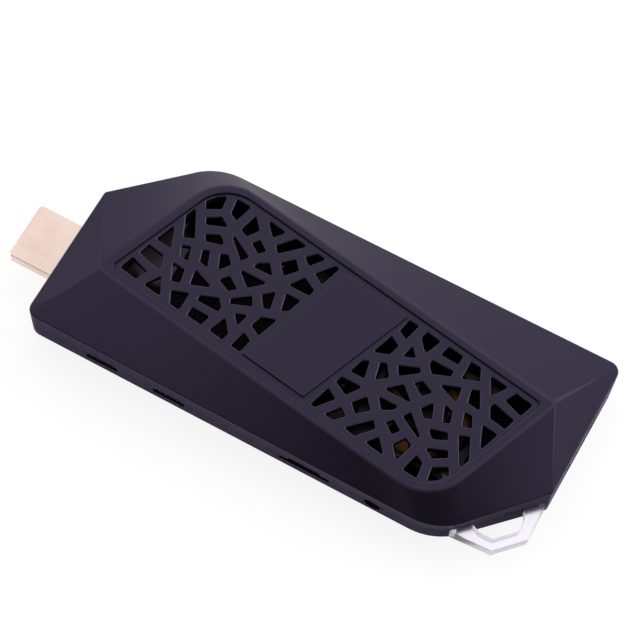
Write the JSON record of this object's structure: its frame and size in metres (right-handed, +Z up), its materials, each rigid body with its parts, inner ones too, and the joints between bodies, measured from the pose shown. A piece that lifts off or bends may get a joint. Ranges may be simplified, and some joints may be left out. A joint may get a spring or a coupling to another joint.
{
  "type": "hdmi stick computer",
  "caption": "Flat stick computer with a faceted plastic case, slotted vent panel, video plug at one end, USB socket at the other, ports along one side and a clear lanyard loop.",
  "frame": {"origin": "middle of the case's flat underside, between its long sides and between its end walls", "axes": "+X to the end with the full-size USB socket, the video plug points to -X, the ports are on the -Y side, +Z up through the vent panel"},
  "size_m": [0.1284, 0.053, 0.0132],
  "materials": {
    "case_plastic": "fine matte",
    "black_plastic": "moulded",
    "plated_steel": "tin plated",
    "gold_brass": "pale gold plated",
    "copper": "bare copper",
    "circuit_board": "black solder mask",
    "clear_acrylic": "clear, polished",
    "silicone_pad": "soft",
    "white_ceramic": "sintered",
    "white_plastic": "moulded",
    "amber_resin": "moulded",
    "ferrite": "sintered"
  },
  "bodies": {
    "case": {"bottom_shell": "case_plastic", "main_board": "circuit_board", "processor": "circuit_board", "memory_chips": "black_plastic", "flash_chip": "black_plastic", "shield_frame": "plated_steel", "shield_lid": "plated_steel", "wifi_module": "plated_steel", "chip_antenna": "white_ceramic", "power_coils": "ferrite", "capacitors": "amber_resin", "clock_crystal": "plated_steel", "status_led": "white_plastic", "hdmi_shell": "gold_brass", "hdmi_insulator": "black_plastic", "hdmi_contacts": "gold_brass", "usb_shell": "plated_steel", "usb_tongue": "white_plastic", "usb_contacts": "gold_brass", "power_port_shell": "plated_steel", "power_port_tongue": "black_plastic", "data_port_shell": "plated_steel", "data_port_tongue": "black_plastic", "card_socket_base": "black_plastic", "card_socket_cover": "plated_steel", "button_switch": "black_plastic", "thermal_pad": "silicone_pad", "fan_standoffs": "gold_brass", "heat_spreader": "copper", "fan_frame": "black_plastic", "fan_bearing": "gold_brass", "fan_stator": "copper", "fan_screws": "plated_steel", "lanyard_loop": "clear_acrylic", "top_shell": "case_plastic", "vent_panel": "case_plastic", "badge_plate": "case_plastic", "case_screws": "plated_steel"},
    "fan": {"fan_rotor": "black_plastic", "fan_magnet": "ferrite", "fan_shaft": "plated_steel"},
    "button": {"power_button": "black_plastic", "switch_plunger": "white_plastic"}
  },
  "joints": [
    {"name": "fan_spin", "type": "hinge", "parent": "case", "child": "fan", "pos_m": [0.0265, -0.00347, 0.009], "axis": [0, 0, 1], "continuous": true},
    {"name": "button_press", "type": "slide", "parent": "case", "child": "button", "axis": [0, 1, 0], "range_m": [0, 0.00035], "stiffness_N_per_m": 4000}
  ]
}
